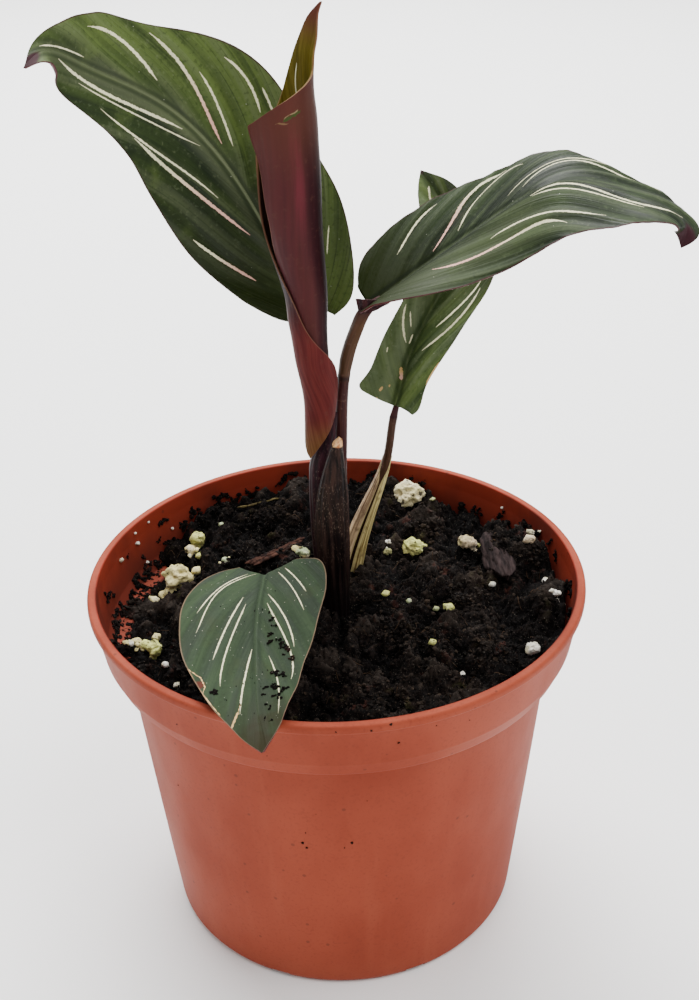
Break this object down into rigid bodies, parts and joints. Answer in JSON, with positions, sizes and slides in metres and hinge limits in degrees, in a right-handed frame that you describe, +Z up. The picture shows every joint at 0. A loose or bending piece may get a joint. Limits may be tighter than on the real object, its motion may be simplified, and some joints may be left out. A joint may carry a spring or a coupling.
{
  "type": "potted plant",
  "caption": "Young pinstripe calathea with broad striped leaves and one rolled leaf, in a round terracotta-coloured plastic nursery pot filled with soil.",
  "frame": {"origin": "middle of the pot's underside, on the plane that the pot stands on", "axes": "+Z up along the pot's axis, -Y towards the viewer of the picture, +X to the viewer's right"},
  "size_m": [0.1359, 0.128, 0.2246],
  "materials": {
    "terracotta_plastic": "moulded matt plastic with a slight sheen",
    "soil": "loose dark potting mix",
    "perlite": "rough pale perlite",
    "bark": "weathered bark",
    "leaf_green": "satin leaf surface",
    "stalk_purple": "smooth purple stalk",
    "leaf_burgundy": "satin burgundy leaf underside",
    "sheath_brown": "ribbed dark sheath",
    "dry_sheath_tan": "dry papery sheath"
  },
  "bodies": {
    "root": {"bark_flake": "bark", "bark_twig": "bark", "blade_back": "leaf_green", "blade_left": "leaf_green", "blade_low": "leaf_green", "blade_right": "leaf_green", "crown_stem": "stalk_purple", "dry_sheath": "dry_sheath_tan", "fibre": "bark", "front_sheath": "sheath_brown", "perlite_01": "perlite", "perlite_02": "perlite", "perlite_03": "perlite", "perlite_04": "perlite", "perlite_05": "perlite", "perlite_06": "perlite", "perlite_07": "perlite", "perlite_08": "perlite", "perlite_09": "perlite", "perlite_10": "perlite", "perlite_11": "perlite", "perlite_12": "perlite", "pot": "terracotta_plastic", "rolled_leaf": "leaf_burgundy", "soil": "soil", "stalk_back": "stalk_purple", "stalk_left": "stalk_purple", "stalk_low": "stalk_purple", "stalk_right": "stalk_purple"}
  },
  "joints": []
}
